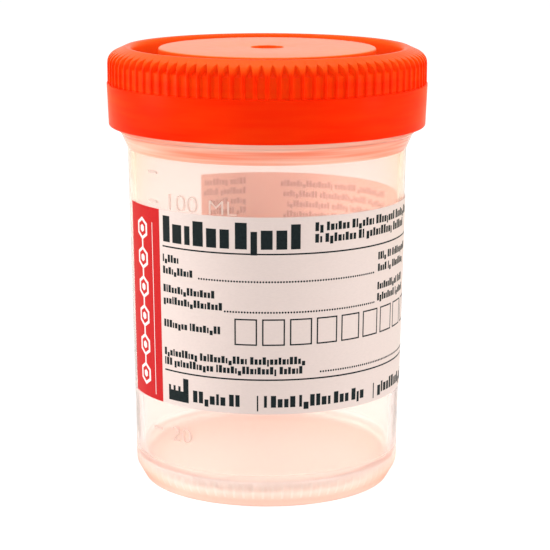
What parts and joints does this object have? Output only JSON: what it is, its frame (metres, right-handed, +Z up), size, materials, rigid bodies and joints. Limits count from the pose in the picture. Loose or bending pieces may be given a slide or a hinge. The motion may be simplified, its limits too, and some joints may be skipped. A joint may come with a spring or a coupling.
{
  "type": "screw-lid specimen container",
  "caption": "Drafted cylindrical translucent pot with a flared neck, a wrap-round label and a fluted orange screw lid that plugs the mouth.",
  "frame": {"origin": "centre of the foot ring, on the plane that the pot stands on", "axes": "+Z up the axis of the pot and lid, -Y towards the viewer of the picture, at the front of the label"},
  "size_m": [0.0598, 0.0598, 0.0821],
  "materials": {
    "natural_polypropylene": "translucent, smooth moulded",
    "label_film": "satin self-adhesive film",
    "seal_foam": "soft matt",
    "orange_polyethylene": "opaque, satin moulded"
  },
  "bodies": {
    "pot_body": {"pot": "natural_polypropylene", "label": "label_film"},
    "seal_body": {"lid_seal": "seal_foam"},
    "lid_body": {"lid": "orange_polyethylene"}
  },
  "joints": [
    {"name": "lid_rise", "type": "slide", "parent": "pot_body", "child": "seal_body", "axis": [0, 0, 1], "range_m": [0, 0.024]},
    {"name": "lid_turn", "type": "hinge", "parent": "seal_body", "child": "lid_body", "pos_m": [0, 0, 0], "axis": [0, 0, 1], "range_deg": [0, 1440]}
  ],
  "couplings": [
    {"joint": "lid_rise", "follows": "lid_turn", "m_per_rad": 0.00095493}
  ]
}
